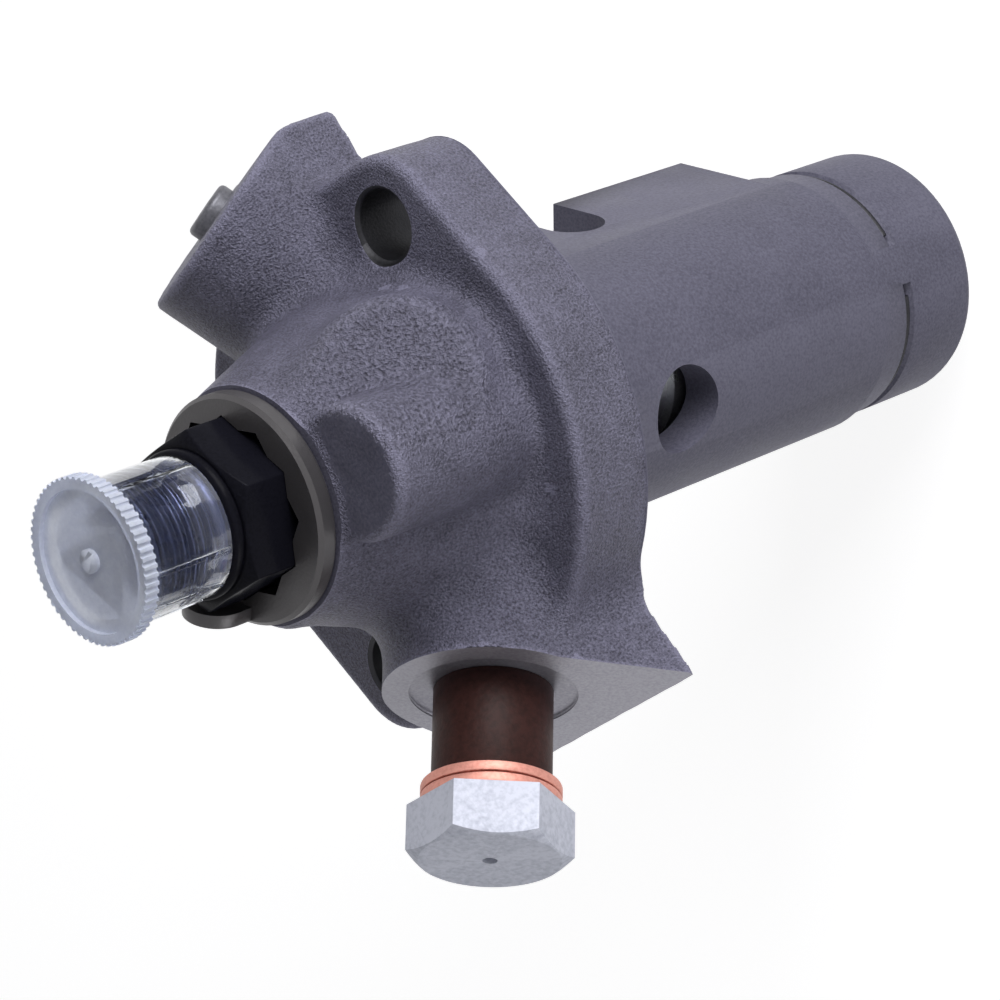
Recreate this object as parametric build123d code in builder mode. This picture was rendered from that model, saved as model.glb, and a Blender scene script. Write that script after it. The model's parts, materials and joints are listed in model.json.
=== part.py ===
"""Single-cylinder diesel injection pump with a roller tappet, made as separate pieces.

Millimetres. The pump's axis is Z, with +Z towards the delivery union. The origin lies on that axis,
in the flange's mounting face. The fuel inlet points to -Y and the gallery plug to about +Y.
"""
from build123d import *

import os
from math import cos, radians, sin, tan

# Flange and guide body, which sit on and in the engine
FLANGE_RADIUS = 31.5
FLANGE_THICKNESS = 11.0
FLANGE_EDGE = 1.2
EAR_ANGLE = 53.0
EAR_RADIUS = 8.3
BOLT_PITCH_RADIUS = 28.0
BOLT_HOLE_DIAMETER = 8.6
GUIDE_RADIUS = 17.25
GUIDE_LENGTH = 62.0
GUIDE_STEP = 1.6
PILOT_RADIUS = 16.6
BODY_END_BELOW_TAPPET_TOP = 17.6
BODY_END_ROUND = 2.0
TAPPET_BORE_RADIUS = 13.5
CHAMBER_RADIUS = 12.0
CHAMBER_TOP_BELOW = 14.0
SPRING_LEDGE_BELOW = 37.0

# Square shoulder for the control arm, and the openings in the guide body
SHOULDER_REACH = 15.4
SHOULDER_LENGTH = 59.0
ARM_SLOT_HEIGHT = 8.6
ARM_SLOT_LENGTH = 25.8
ARM_SLOT_BELOW = 30.0
ARM_SLOT_START = 4.0
WINDOW_DIAMETER = 11.2
WINDOW_BELOW = 23.3

# Retaining clip and its groove near the tappet end
CLIP_GROOVE_BELOW_TAPPET_TOP = 3.0
CLIP_GROOVE_WIDTH = 1.7
CLIP_GROOVE_DEPTH = 1.5
CLIP_WIRE = 1.2
CLIP_BRIDGE_AT = -10.0
CLIP_BRIDGE_SPAN = 18.0
CLIP_END_GAP = 6.0

# Head casting above the flange
NECK_TOP = 33.5
NECK_TOP_RADIUS = 16.0
NECK_FOOT_RADIUS = 21.5
HEAD_BORE_RADIUS = 10.5
HEAD_BORE_FLOOR = 2.0
STEM_BORE_RADIUS = 8.5
HOLDER_THREAD_RADIUS = 11.0
HOLDER_THREAD_FLOOR = 18.0
GALLERY_RADIUS = 12.2
GALLERY_FLOOR = 3.0
GALLERY_HEIGHT = 9.0
LUG_AT = -12.5
LUG_OFFSET = 18.0
LUG_RADIUS = 7.0
LUG_TOP = 33.2
CAST_EDGE = 0.8
BOSS_BLEND = 2.5
BOSS_RIM_ROUND = 0.7
BOSS_DEPTH = 34.0
BOSS_FLOOR = 0.4
CLEARING_RADIUS = 90.0

# Blank inclined disc on the +X side
DISC_AZIMUTH = 11.0
DISC_TILT = 50.0
DISC_CROSSING = 5.6
DISC_REACH = 27.4
DISC_RADIUS = 10.5
DISC_BACK_RADIUS = 13.8
DISC_DEPTH = 22.0
DISC_EDGE = 1.6
DISC_BLEND = 2.5
DISC_TOP = 27.0

# Inclined inlet boss
INLET_AZIMUTH = -90.0
INLET_TILT = 56.0
INLET_CROSSING = -8.0
INLET_REACH = 38.0
INLET_NOSE_RADIUS = 13.2
INLET_SKIRT = 20.0
INLET_FOOT_HALF_WIDTH = 15.5
SPOT_FACE_RADIUS = 10.0
SPOT_FACE_DEPTH = 0.5
INLET_THREAD_RADIUS = 6.0
INLET_THREAD_DEPTH = 12.0
INLET_PASSAGE_RADIUS = 3.0
INLET_BLEND_SHARE = 0.42

# Inclined plug boss on the other side, cut off by an upright wall
PLUG_AZIMUTH = 101.0
PLUG_TILT = 60.0
PLUG_CROSSING = -8.0
PLUG_REACH = 41.8
PLUG_NOSE_RADIUS = 13.2
PLUG_SKIRT = 24.0
PLUG_FOOT_HALF_WIDTH = 13.5
PLUG_WALL_AT = 38.8
PLUG_SPOT_RADIUS = 4.8
PLUG_SPOT_DEPTH = 0.5
PLUG_THREAD_RADIUS = 2.5
PLUG_THREAD_DEPTH = 12.0
PLUG_THREAD_SPARE = 2.0
PLUG_PASSAGE_RADIUS = 1.5
PLUG_HEAD_RADIUS = 3.6
PLUG_HEAD_HEIGHT = 1.7
PLUG_HEAD_ROUND = 0.7
PLUG_SOCKET_FLATS = 3.0
PLUG_SOCKET_DEPTH = 1.2
PLUG_WASHER_RADIUS = 4.5
PLUG_WASHER_THICKNESS = 0.5

# Plunger and barrel
PLUNGER_RADIUS = 4.0
PLUNGER_CLEARANCE = 0.03
PLUNGER_TOP = 4.0
PLUNGER_FOOT_RADIUS = 6.5
PLUNGER_FOOT_THICKNESS = 2.0
PLUNGER_GROOVE_DEPTH = 0.6
PLUNGER_GROOVE_WIDTH = 1.2
PLUNGER_GROOVE_LENGTH = 9.0
SPILL_EDGE_BELOW = 6.0
SPILL_EDGE_SLOPE = 30.0
SPILL_GROOVE_HEIGHT = 2.0
BARREL_TOP = 14.0
BARREL_FIT = 0.03
BARREL_STEM_FOOT_BELOW = 33.0
BARREL_STEM_RADIUS = 6.6
PORT_RADIUS = 1.5
PORT_HEIGHT = 8.0

# Control sleeve and arm
SLEEVE_RADIUS = 9.4
SLEEVE_TOP_BELOW = 14.4
SLEEVE_SHOULDER_BELOW = 36.7
SLEEVE_FOOT_BELOW = 52.0
SLEEVE_SKIRT_RADIUS = 8.3
VANE_SPAN = 15.0
VANE_THICKNESS = 3.2
VANE_TOP_BELOW = 42.0
VANE_LENGTH = 6.0
VANE_PLAY = 0.1
SLEEVE_CLEARANCE = 0.05
COLLAR_RADIUS = 10.6
COLLAR_THICKNESS = 3.4
ARM_AZIMUTH = 106.0
ARM_SEAT_DEPTH = 1.2
ARM_THICKNESS = 2.6
ARM_WIDTH = 4.0
ARM_REACH = 15.6
ARM_BALL_RADIUS = 2.2

# Plunger spring and its seats
SPRING_WIRE = 2.4
SPRING_MEAN_RADIUS = 10.2
SPRING_TURNS = 5.0
SPRING_END_MARGIN = 0.08
SPRING_WIRE_SIDES = 12
SEAT_THICKNESS = 1.6
SEAT_BORE = 8.5
SEAT_CLEARANCE = 0.12

# Roller tappet
TAPPET_CLEARANCE = 0.04
TAPPET_TOP_BELOW = 64.0
TAPPET_LENGTH = 19.2
TAPPET_POCKET_RADIUS = 11.6
TAPPET_POCKET_DEPTH = 5.0
TAPPET_FLOOR = 2.8
TAPPET_FORK_WIDTH = 11.0
TAPPET_TRAVEL = 8.0
TAPPET_CHAMFER = 1.0
ROLLER_RADIUS = 7.5
ROLLER_WIDTH = 10.4
ROLLER_CHAMFER = 0.5
ROLLER_BELOW_TAPPET_TOP = 15.5
ROLLER_PIN_RADIUS = 3.5
ROLLER_RUNNING = 0.04
BUSH_WALL = 1.2
ROLLER_PIN_HALF = 11.0
PRESS_FIT = 0.02
GUIDE_PIN_RADIUS = 1.6
GUIDE_PIN_AT = 162.0
GUIDE_PIN_DEPTH = 1.0
GUIDE_SLOT_PLAY = 0.1

# Delivery valve and its holder
VALVE_BODY_LENGTH = 9.0
VALVE_BODY_RADIUS = 8.4
VALVE_FLANGE_RADIUS = 10.2
VALVE_FLANGE_THICKNESS = 3.0
VALVE_STEM_RADIUS = 2.5
VALVE_CLEARANCE = 0.03
VALVE_HEAD_RADIUS = 3.6
VALVE_SEAT_DEPTH = 1.5
VALVE_HEAD_THICKNESS = 2.5
VALVE_STUD_RADIUS = 2.2
VALVE_STUD_LENGTH = 2.5
VALVE_TAIL_CLEARANCE = 1.0
VALVE_FLUTE_RADIUS = 3.25
VALVE_FLUTE_LENGTH = 5.0
SEAL_THICKNESS = 1.2
SEAL_BORE = 6.4
HOLDER_CAVITY_RADIUS = 5.2
HOLDER_CAVITY_TOP = 38.0
HOLDER_PASSAGE_RADIUS = 1.5
HEX_FLATS = 19.0
HEX_TOP = 42.4
HEX_TURN = 30.0
CROWN_INSET = 0.2
CROWN_REACH = 3.0
CROWN_SLOPE = 30.0
UNION_RADIUS = 7.0
UNION_TOP = 55.5
UNION_CONE_RADIUS = 4.4
UNION_CONE_DEPTH = 4.5
UNION_CHAMFER = 0.8
VALVE_SPRING_WIRE = 0.9
VALVE_SPRING_RADIUS = 3.6
VALVE_SPRING_TURNS = 5.0

# Lock ring round the holder's hexagon
LOCK_RING_RADIUS = 14.3
LOCK_RING_THICKNESS = 2.5
LOCK_RING_CHAMFER = 0.5
LOCK_RING_PLAY = 0.15
LOCK_TAB_AT = -130.0
LOCK_TAB_WIDTH = 6.5
LOCK_TAB_THICKNESS = 1.4
LOCK_TAB_HEIGHT = 5.8
LOCK_TAB_ROUND = 1.5

# Transit cap over the union
CAP_DISC_RADIUS = 9.8
CAP_DISC_THICKNESS = 1.9
CAP_TOP = 57.7
CAP_TUBE_RADIUS = 8.45
CAP_PLAY = 0.1
CAP_TUBE_FOOT = 43.8
CAP_TEETH = 60
CAP_TOOTH_RADIUS = 0.3
CAP_DISH_RADIUS = 8.4
CAP_DISH_DEPTH = 0.6
CAP_NIPPLE_RADIUS = 1.4

# Banjo bolt, its washers and the transit sleeve
BANJO_HEX_FLATS = 17.0
BANJO_HEAD = 6.5
BANJO_HEX_TURN = 0.0
BANJO_SHANK_IN_BOSS = 11.0
BANJO_BORE_RADIUS = 3.0
BANJO_CENTRE_HOLE_RADIUS = 0.9
BANJO_CENTRE_HOLE_DEPTH = 1.5
WASHER_RADIUS = 8.3
WASHER_THICKNESS = 1.3
WASHER_GAP = 0.1
TRANSIT_SLEEVE_RADIUS = 7.1
TRANSIT_SLEEVE_LENGTH = 12.4
THREAD_FIT = 0.05

os.makedirs("parts", exist_ok=True)


def finish(piece, name):
    """Labels one finished piece and writes it."""
    piece.part.label = name
    export_step(piece.part, f"parts/{name}.step")


def boss_plane(azimuth, tilt, crossing, reach):
    """A plane on an inclined boss's face: its normal leaves the pump, its x runs across the axis."""
    outward = Vector(cos(radians(azimuth)), sin(radians(azimuth)), 0)
    across = Vector(-sin(radians(azimuth)), cos(radians(azimuth)), 0)
    normal = outward * sin(radians(tilt)) + Vector(0, 0, cos(radians(tilt)))
    return Plane(origin=Vector(0, 0, crossing) + normal * reach, x_dir=across, z_dir=normal)


def upright_plane(face):
    """The plane through a face's centre that holds its normal as y and keeps its x."""
    return Plane(origin=face.origin, x_dir=face.x_dir, z_dir=-face.y_dir)


def radial_plane(azimuth, height):
    """A plane that holds the axis: its x points outwards at the azimuth, its y runs along +Z."""
    outward = Vector(cos(radians(azimuth)), sin(radians(azimuth)), 0)
    across = Vector(sin(radians(azimuth)), -cos(radians(azimuth)), 0)
    return Plane(origin=(0, 0, height), x_dir=outward, z_dir=across)


def facing_plane(azimuth, height):
    """A plane square to the azimuth through the axis: its normal points outwards, its y is +Z."""
    outward = Vector(cos(radians(azimuth)), sin(radians(azimuth)), 0)
    across = Vector(-sin(radians(azimuth)), cos(radians(azimuth)), 0)
    return Plane(origin=(0, 0, height), x_dir=across, z_dir=outward)


def tombstone(nose, half_width, skirt):
    """Sketches a boss outline: a round nose over a skirt that widens downwards."""
    Circle(nose)
    Polygon((-nose, 0), (nose, 0), (half_width, -skirt), (-half_width, -skirt), align=None)


def crown(face, flats):
    """Cuts the corners of a hexagon's end to a cone."""
    inner = flats / 2 - CROWN_INSET
    outer = flats / 2 + CROWN_REACH
    drop = (outer - inner) * tan(radians(CROWN_SLOPE))
    with BuildSketch(upright_plane(face)) as corner:
        Polygon((inner, 0), (outer, -drop), (outer, 0), align=None)
    revolve(corner.sketch, axis=Axis(face.origin, face.z_dir), mode=Mode.SUBTRACT)


def coil_spring(foot, top, wire, mean_radius, turns):
    """A coil spring whose closed, ground ends are flat rings at its foot and its top."""
    rise = top - foot - wire
    with BuildPart() as spring:
        with BuildLine():
            path = Helix(
                pitch=rise / turns,
                height=rise,
                radius=mean_radius,
                center=(0, 0, foot + wire / 2),
            )
        with BuildSketch(Plane(origin=path @ 0, x_dir=(1, 0, 0), z_dir=path % 0)):
            RegularPolygon(wire / 2, SPRING_WIRE_SIDES)
        sweep(path=path, is_frenet=True)
        for ring_floor in (foot, top - wire):
            with BuildSketch(Plane.XY.offset(ring_floor)):
                Circle(mean_radius + wire / 2 + SPRING_END_MARGIN)
                Circle(mean_radius - wire / 2 - SPRING_END_MARGIN, mode=Mode.SUBTRACT)
            extrude(amount=wire)
    return spring


inlet_face = boss_plane(INLET_AZIMUTH, INLET_TILT, INLET_CROSSING, INLET_REACH)
inlet_passage_height = INLET_CROSSING + (INLET_REACH - INLET_THREAD_DEPTH) * cos(radians(INLET_TILT))
inlet_passage_reach = (INLET_REACH - INLET_THREAD_DEPTH) * sin(radians(INLET_TILT))
nose_radius = INLET_REACH * sin(radians(INLET_TILT)) - INLET_NOSE_RADIUS * cos(radians(INLET_TILT))
nose_height = inlet_face.origin.Z + INLET_NOSE_RADIUS * sin(radians(INLET_TILT))
neck_slope = (NECK_FOOT_RADIUS - NECK_TOP_RADIUS) / (NECK_TOP - FLANGE_THICKNESS)
neck_radius = NECK_TOP_RADIUS + (NECK_TOP - nose_height) * neck_slope
inlet_blend = INLET_BLEND_SHARE * (nose_radius - neck_radius)
plug_face = boss_plane(PLUG_AZIMUTH, PLUG_TILT, PLUG_CROSSING, PLUG_REACH)
plug_passage_height = PLUG_CROSSING + (PLUG_REACH - PLUG_THREAD_DEPTH) * cos(radians(PLUG_TILT))
plug_passage_reach = (PLUG_REACH - PLUG_THREAD_DEPTH) * sin(radians(PLUG_TILT))
disc_face = boss_plane(DISC_AZIMUTH, DISC_TILT, DISC_CROSSING, DISC_REACH)

body_end = -TAPPET_TOP_BELOW - BODY_END_BELOW_TAPPET_TOP
barrel_head_radius = HEAD_BORE_RADIUS - BARREL_FIT
seal_top = BARREL_TOP + VALVE_BODY_LENGTH + SEAL_THICKNESS
clip_middle = -TAPPET_TOP_BELOW - CLIP_GROOVE_BELOW_TAPPET_TOP - CLIP_GROOVE_WIDTH / 2
groove_radius = PILOT_RADIUS - CLIP_GROOVE_DEPTH
tappet_radius = TAPPET_BORE_RADIUS - TAPPET_CLEARANCE
guide_pin_tip = tappet_radius - GUIDE_PIN_DEPTH
valve_seat_foot = BARREL_TOP + VALVE_BODY_LENGTH - VALVE_SEAT_DEPTH
valve_head_top = BARREL_TOP + VALVE_BODY_LENGTH + VALVE_HEAD_THICKNESS
spring_top = -SPRING_LEDGE_BELOW - SEAT_THICKNESS
spring_foot = -TAPPET_TOP_BELOW - TAPPET_POCKET_DEPTH + PLUNGER_FOOT_THICKNESS + SEAT_THICKNESS

# Pump housing: guide body, flange and head casting in one piece
with BuildSketch() as flange_outline:
    Circle(FLANGE_RADIUS)
    with PolarLocations(BOLT_PITCH_RADIUS, 2, start_angle=EAR_ANGLE):
        Circle(EAR_RADIUS)
    make_hull()

with BuildPart() as pump_housing:
    # Flange with its two ears and a rounded rim
    with BuildSketch(Plane.XY):
        add(flange_outline.sketch)
    extrude(amount=FLANGE_THICKNESS)
    fillet(pump_housing.edges().group_by(Axis.Z)[-1], FLANGE_EDGE)
    # Inlet boss: a tombstone face carried back into the head
    with BuildSketch(inlet_face):
        tombstone(INLET_NOSE_RADIUS, INLET_FOOT_HALF_WIDTH, INLET_SKIRT)
    extrude(amount=-BOSS_DEPTH)
    # Plug boss on the other side
    with BuildSketch(plug_face):
        tombstone(PLUG_NOSE_RADIUS, PLUG_FOOT_HALF_WIDTH, PLUG_SKIRT)
    extrude(amount=-BOSS_DEPTH)
    with BuildSketch(facing_plane(PLUG_AZIMUTH, 0).offset(PLUG_WALL_AT)):
        Circle(CLEARING_RADIUS)
    extrude(amount=CLEARING_RADIUS, mode=Mode.SUBTRACT)
    # Both bosses end above the mounting face outside the flange, and level with it inside
    with BuildSketch(Plane.XY.offset(BOSS_FLOOR)):
        Circle(CLEARING_RADIUS)
        add(flange_outline.sketch, mode=Mode.SUBTRACT)
    extrude(amount=-CLEARING_RADIUS, mode=Mode.SUBTRACT)
    with BuildSketch(Plane.XY):
        Circle(CLEARING_RADIUS)
    extrude(amount=-CLEARING_RADIUS, mode=Mode.SUBTRACT)
    # Blank disc boss with a rounded rim
    with BuildSketch(upright_plane(disc_face)):
        with BuildLine():
            Polyline(
                (0, 0),
                (DISC_RADIUS, 0),
                (DISC_BACK_RADIUS, -DISC_DEPTH),
                (0, -DISC_DEPTH),
                close=True,
            )
        disc_profile = make_face()
        fillet(disc_profile.vertices().sort_by(Axis.X)[-2], DISC_EDGE)
    revolve(axis=Axis(disc_face.origin, disc_face.z_dir))
    # Lug beside the neck
    with BuildSketch(Plane.XY.offset(FLANGE_THICKNESS / 2)):
        with PolarLocations(LUG_OFFSET, 1, start_angle=LUG_AT):
            Circle(LUG_RADIUS)
    extrude(amount=LUG_TOP - FLANGE_THICKNESS / 2)
    fillet(pump_housing.edges().group_by(Axis.Z)[-1], CAST_EDGE)
    # Neck
    with BuildSketch(Plane.XZ):
        with BuildLine():
            Polyline(
                (0, NECK_TOP),
                (NECK_TOP_RADIUS, NECK_TOP),
                (NECK_FOOT_RADIUS, FLANGE_THICKNESS),
                (NECK_FOOT_RADIUS, FLANGE_THICKNESS / 2),
                (0, FLANGE_THICKNESS / 2),
                close=True,
            )
        make_face()
    revolve(axis=Axis.Z)
    # Blends where the two long bosses meet the neck
    for low, high, blend in ((0, FLANGE_RADIUS, BOSS_BLEND), (-FLANGE_RADIUS, 0, inlet_blend)):
        junctions = pump_housing.edges().filter_by(GeomType.BSPLINE).filter_by_position(Axis.Y, low, high)
        fillet(junctions.sort_by(SortBy.LENGTH)[-1], blend)
    # Blends where the disc meets the neck on one side, and the lug on the other
    for low, high in ((LUG_RADIUS, FLANGE_RADIUS), (-LUG_RADIUS / 2, 0)):
        junctions = pump_housing.edges().filter_by(GeomType.BSPLINE)
        junctions = junctions.filter_by_position(Axis.Y, low, high)
        junctions = junctions.filter_by_position(Axis.X, NECK_TOP_RADIUS / 2, FLANGE_RADIUS)
        junctions = junctions.filter_by_position(Axis.Z, FLANGE_THICKNESS + FLANGE_EDGE, DISC_TOP)
        fillet(junctions, DISC_BLEND)
    # Rounded rims of the two bosses' faces, left sharp along their lower edges
    for boss_face in (plug_face, inlet_face):
        rim = pump_housing.faces().sort_by_distance(boss_face.origin)[0].edges().sort_by(Axis.Z)
        fillet(rim[1:], BOSS_RIM_ROUND)
    # Guide body and its square shoulder
    with BuildSketch(Plane.XZ):
        with BuildLine():
            Polyline(
                (0, 0),
                (GUIDE_RADIUS, 0),
                (GUIDE_RADIUS, -GUIDE_LENGTH),
                (PILOT_RADIUS, -GUIDE_LENGTH - GUIDE_STEP),
                (PILOT_RADIUS, body_end),
                (0, body_end),
                close=True,
            )
        make_face()
    revolve(axis=Axis.Z)
    fillet(pump_housing.edges().group_by(Axis.Z)[0], BODY_END_ROUND)
    with BuildSketch(Plane.XY.offset(-SHOULDER_LENGTH)):
        with Locations(Location((0, 0, 0), (0, 0, EAR_ANGLE))):
            Rectangle(GUIDE_RADIUS, SHOULDER_REACH, align=(Align.MIN, Align.MIN))
    extrude(amount=SHOULDER_LENGTH)
    # Bores down the middle
    with BuildSketch(Plane.XZ):
        with BuildLine():
            Polyline(
                (0, NECK_TOP),
                (HOLDER_THREAD_RADIUS, NECK_TOP),
                (HOLDER_THREAD_RADIUS, HOLDER_THREAD_FLOOR),
                (HEAD_BORE_RADIUS, HOLDER_THREAD_FLOOR),
                (HEAD_BORE_RADIUS, HEAD_BORE_FLOOR),
                (STEM_BORE_RADIUS, HEAD_BORE_FLOOR),
                (STEM_BORE_RADIUS, -CHAMBER_TOP_BELOW),
                (CHAMBER_RADIUS, -CHAMBER_TOP_BELOW),
                (CHAMBER_RADIUS, -SPRING_LEDGE_BELOW),
                (TAPPET_BORE_RADIUS, -SPRING_LEDGE_BELOW),
                (TAPPET_BORE_RADIUS, body_end),
                (0, body_end),
                close=True,
            )
        make_face()
    revolve(axis=Axis.Z, mode=Mode.SUBTRACT)
    with BuildSketch(Plane.XY.offset(GALLERY_FLOOR)):
        Circle(GALLERY_RADIUS)
    extrude(amount=GALLERY_HEIGHT, mode=Mode.SUBTRACT)
    # Bolt holes
    with BuildSketch(Plane.XY):
        with PolarLocations(BOLT_PITCH_RADIUS, 2, start_angle=EAR_ANGLE):
            Circle(BOLT_HOLE_DIAMETER / 2)
    extrude(amount=FLANGE_THICKNESS, mode=Mode.SUBTRACT)
    # Spot faces, threads and the cored passages that lead from them to the gallery
    with BuildSketch(inlet_face):
        Circle(SPOT_FACE_RADIUS)
    extrude(amount=-SPOT_FACE_DEPTH, mode=Mode.SUBTRACT)
    with BuildSketch(inlet_face):
        Circle(INLET_THREAD_RADIUS)
    extrude(amount=-INLET_THREAD_DEPTH, mode=Mode.SUBTRACT)
    with BuildSketch(facing_plane(INLET_AZIMUTH, inlet_passage_height)):
        Circle(INLET_PASSAGE_RADIUS)
    extrude(amount=inlet_passage_reach, mode=Mode.SUBTRACT)
    with BuildSketch(plug_face):
        Circle(PLUG_SPOT_RADIUS)
    extrude(amount=-PLUG_SPOT_DEPTH, mode=Mode.SUBTRACT)
    with BuildSketch(plug_face):
        Circle(PLUG_THREAD_RADIUS)
    extrude(amount=-PLUG_THREAD_DEPTH, mode=Mode.SUBTRACT)
    with BuildSketch(facing_plane(PLUG_AZIMUTH, plug_passage_height)):
        Circle(PLUG_PASSAGE_RADIUS)
    extrude(amount=plug_passage_reach, mode=Mode.SUBTRACT)
    # Slot for the control arm, open at the shoulder's corner
    with BuildSketch(facing_plane(EAR_ANGLE, -ARM_SLOT_BELOW)):
        with Locations((ARM_SLOT_START, 0)):
            SlotOverall(ARM_SLOT_LENGTH, ARM_SLOT_HEIGHT, align=(Align.MIN, Align.CENTER))
    extrude(amount=2 * GUIDE_RADIUS, mode=Mode.SUBTRACT)
    # Round window
    with BuildSketch(facing_plane(EAR_ANGLE - 90, -WINDOW_BELOW)):
        Circle(WINDOW_DIAMETER / 2)
    extrude(amount=2 * GUIDE_RADIUS, mode=Mode.SUBTRACT)
    # Clip groove, left solid at its bridge, and the tappet guide pin's hole
    with BuildSketch(radial_plane(CLIP_BRIDGE_AT + CLIP_BRIDGE_SPAN / 2, clip_middle)):
        with Locations((groove_radius, 0)):
            Rectangle(2 * CLIP_GROOVE_DEPTH, CLIP_GROOVE_WIDTH, align=(Align.MIN, Align.CENTER))
    revolve(axis=Axis.Z, revolution_arc=360 - CLIP_BRIDGE_SPAN, mode=Mode.SUBTRACT)
    with BuildSketch(facing_plane(GUIDE_PIN_AT, clip_middle)):
        Circle(GUIDE_PIN_RADIUS)
    extrude(amount=2 * GUIDE_RADIUS, mode=Mode.SUBTRACT)
finish(pump_housing, "pump_housing")

# Barrel that the plunger works in, with its two fuel ports
with BuildPart() as barrel:
    with BuildSketch(Plane.XZ):
        with BuildLine():
            Polyline(
                (PLUNGER_RADIUS, BARREL_TOP),
                (barrel_head_radius, BARREL_TOP),
                (barrel_head_radius, HEAD_BORE_FLOOR),
                (STEM_BORE_RADIUS - BARREL_FIT, HEAD_BORE_FLOOR),
                (STEM_BORE_RADIUS - BARREL_FIT, -CHAMBER_TOP_BELOW),
                (BARREL_STEM_RADIUS, -CHAMBER_TOP_BELOW),
                (BARREL_STEM_RADIUS, -BARREL_STEM_FOOT_BELOW),
                (PLUNGER_RADIUS, -BARREL_STEM_FOOT_BELOW),
                close=True,
            )
        make_face()
    revolve(axis=Axis.Z)
    with BuildSketch(Plane.YZ.offset(-2 * HEAD_BORE_RADIUS)):
        with Locations((0, PORT_HEIGHT)):
            Circle(PORT_RADIUS)
    extrude(amount=4 * HEAD_BORE_RADIUS, mode=Mode.SUBTRACT)
finish(barrel, "barrel")

# Plunger with its helical spill groove, cross vanes and foot
plunger_foot_top = -TAPPET_TOP_BELOW - TAPPET_POCKET_DEPTH + PLUNGER_FOOT_THICKNESS
with BuildPart() as plunger:
    with BuildSketch(Plane.XZ):
        with BuildLine():
            Polyline(
                (0, PLUNGER_TOP),
                (PLUNGER_RADIUS - PLUNGER_CLEARANCE, PLUNGER_TOP),
                (PLUNGER_RADIUS - PLUNGER_CLEARANCE, plunger_foot_top),
                (PLUNGER_FOOT_RADIUS, plunger_foot_top),
                (PLUNGER_FOOT_RADIUS, plunger_foot_top - PLUNGER_FOOT_THICKNESS),
                (0, plunger_foot_top - PLUNGER_FOOT_THICKNESS),
                close=True,
            )
        make_face()
    revolve(axis=Axis.Z)
    # Vertical groove and slanted metering edge
    with BuildSketch(Plane.XY.offset(PLUNGER_TOP)):
        with Locations((PLUNGER_RADIUS, 0)):
            Rectangle(2 * PLUNGER_GROOVE_DEPTH, PLUNGER_GROOVE_WIDTH)
    extrude(amount=-PLUNGER_GROOVE_LENGTH, mode=Mode.SUBTRACT)
    with BuildSketch(Plane.XY.offset(PLUNGER_TOP - SPILL_EDGE_BELOW).rotated((-SPILL_EDGE_SLOPE, 0, 0))):
        Circle(2 * PLUNGER_RADIUS)
        Circle(PLUNGER_RADIUS - PLUNGER_GROOVE_DEPTH, mode=Mode.SUBTRACT)
    extrude(amount=-SPILL_GROOVE_HEIGHT, mode=Mode.SUBTRACT)
    # Vanes that the control sleeve turns
    with BuildSketch(Plane.XY.offset(-VANE_TOP_BELOW)):
        Rectangle(VANE_SPAN, VANE_THICKNESS)
    extrude(amount=-VANE_LENGTH)
finish(plunger, "plunger")

# Control sleeve, slotted below for the plunger's vanes
with BuildPart() as control_sleeve:
    with BuildSketch(Plane.XZ):
        with BuildLine():
            Polyline(
                (BARREL_STEM_RADIUS + SLEEVE_CLEARANCE, -SLEEVE_TOP_BELOW),
                (SLEEVE_RADIUS, -SLEEVE_TOP_BELOW),
                (SLEEVE_RADIUS, -SLEEVE_SHOULDER_BELOW),
                (SLEEVE_SKIRT_RADIUS, -SLEEVE_SHOULDER_BELOW),
                (SLEEVE_SKIRT_RADIUS, -SLEEVE_FOOT_BELOW),
                (BARREL_STEM_RADIUS + SLEEVE_CLEARANCE, -SLEEVE_FOOT_BELOW),
                close=True,
            )
        make_face()
    revolve(axis=Axis.Z)
    with BuildSketch(Plane.XY.offset(-ARM_SLOT_BELOW - COLLAR_THICKNESS / 2)):
        Circle(COLLAR_RADIUS)
        Circle(SLEEVE_RADIUS, mode=Mode.SUBTRACT)
    extrude(amount=COLLAR_THICKNESS)
    with BuildSketch(Plane.XY.offset(-SLEEVE_FOOT_BELOW)):
        Rectangle(VANE_SPAN + 2 * VANE_PLAY, VANE_THICKNESS + 2 * VANE_PLAY)
    extrude(amount=SLEEVE_FOOT_BELOW - BARREL_STEM_FOOT_BELOW - VANE_PLAY, mode=Mode.SUBTRACT)
    with BuildSketch(Plane.XY.offset(-ARM_SLOT_BELOW - ARM_THICKNESS / 2)):
        with Locations(Location((0, 0, 0), (0, 0, ARM_AZIMUTH))):
            with Locations((SLEEVE_RADIUS - ARM_SEAT_DEPTH, 0)):
                Rectangle(ARM_REACH, ARM_WIDTH, align=(Align.MIN, Align.CENTER))
    extrude(amount=ARM_THICKNESS, mode=Mode.SUBTRACT)
finish(control_sleeve, "control_sleeve")

# Arm pressed into the control sleeve, with the ball that the governor's fork moves
with BuildPart() as control_arm:
    with BuildSketch(Plane.XY.offset(-ARM_SLOT_BELOW - ARM_THICKNESS / 2)):
        with Locations(Location((0, 0, 0), (0, 0, ARM_AZIMUTH))):
            with Locations((SLEEVE_RADIUS - ARM_SEAT_DEPTH, 0)):
                Rectangle(
                    ARM_REACH - SLEEVE_RADIUS + ARM_SEAT_DEPTH, ARM_WIDTH, align=(Align.MIN, Align.CENTER)
                )
    extrude(amount=ARM_THICKNESS)
    with Locations(Location((0, 0, -ARM_SLOT_BELOW), (0, 0, ARM_AZIMUTH))):
        with Locations((ARM_REACH, 0, 0)):
            Sphere(ARM_BALL_RADIUS)
finish(control_arm, "control_arm")

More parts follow.
